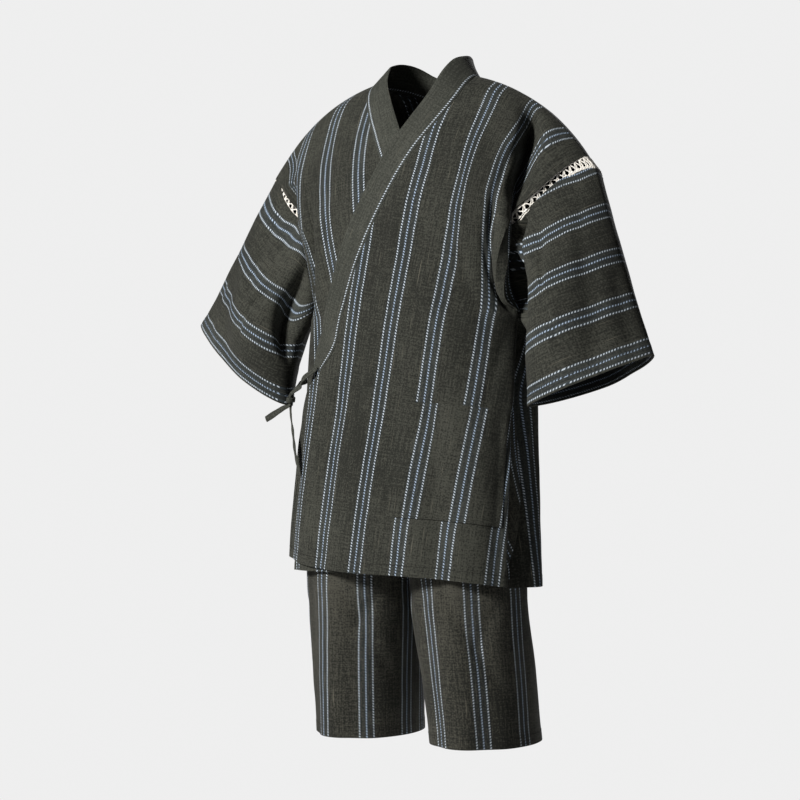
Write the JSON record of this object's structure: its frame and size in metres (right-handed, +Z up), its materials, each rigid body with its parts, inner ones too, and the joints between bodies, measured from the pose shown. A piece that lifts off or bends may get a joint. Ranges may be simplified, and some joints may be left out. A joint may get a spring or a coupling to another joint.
{
  "type": "worn wrap jacket and shorts set",
  "caption": "Hollow worn summer set: dark striped wrap jacket with lace-joined wide sleeves, patch pocket and tied waist, over straight knee-length shorts.",
  "frame": {"origin": "between the shoulders, level with the shoulder line beside the collar, where the wearer carries the jacket", "axes": "+Z up along the wearer, -Y out of the front, +X towards the wearer's left"},
  "size_m": [0.8016, 0.2365, 0.9752],
  "materials": {
    "striped_cloth": "matt slubby woven cotton with dotted light stripes in threes",
    "plain_cloth": "matt slubby woven cotton, plain",
    "lace": "matt cream cotton lace"
  },
  "bodies": {
    "root": {"front_left": "striped_cloth", "back_left": "striped_cloth", "front_right": "striped_cloth", "back_right": "striped_cloth", "collar": "plain_cloth", "lace_left_front": "lace", "lace_left_back": "lace", "lace_right_front": "lace", "lace_right_back": "lace", "sleeve_left_front": "striped_cloth", "sleeve_left_back": "striped_cloth", "sleeve_right_front": "striped_cloth", "sleeve_right_back": "striped_cloth", "pocket": "striped_cloth", "tie_collar": "plain_cloth", "tie_side": "plain_cloth", "tie_knot": "plain_cloth", "shorts_front_left": "striped_cloth", "shorts_back_left": "striped_cloth", "shorts_front_right": "striped_cloth", "shorts_back_right": "striped_cloth", "waistband": "plain_cloth"}
  },
  "joints": []
}
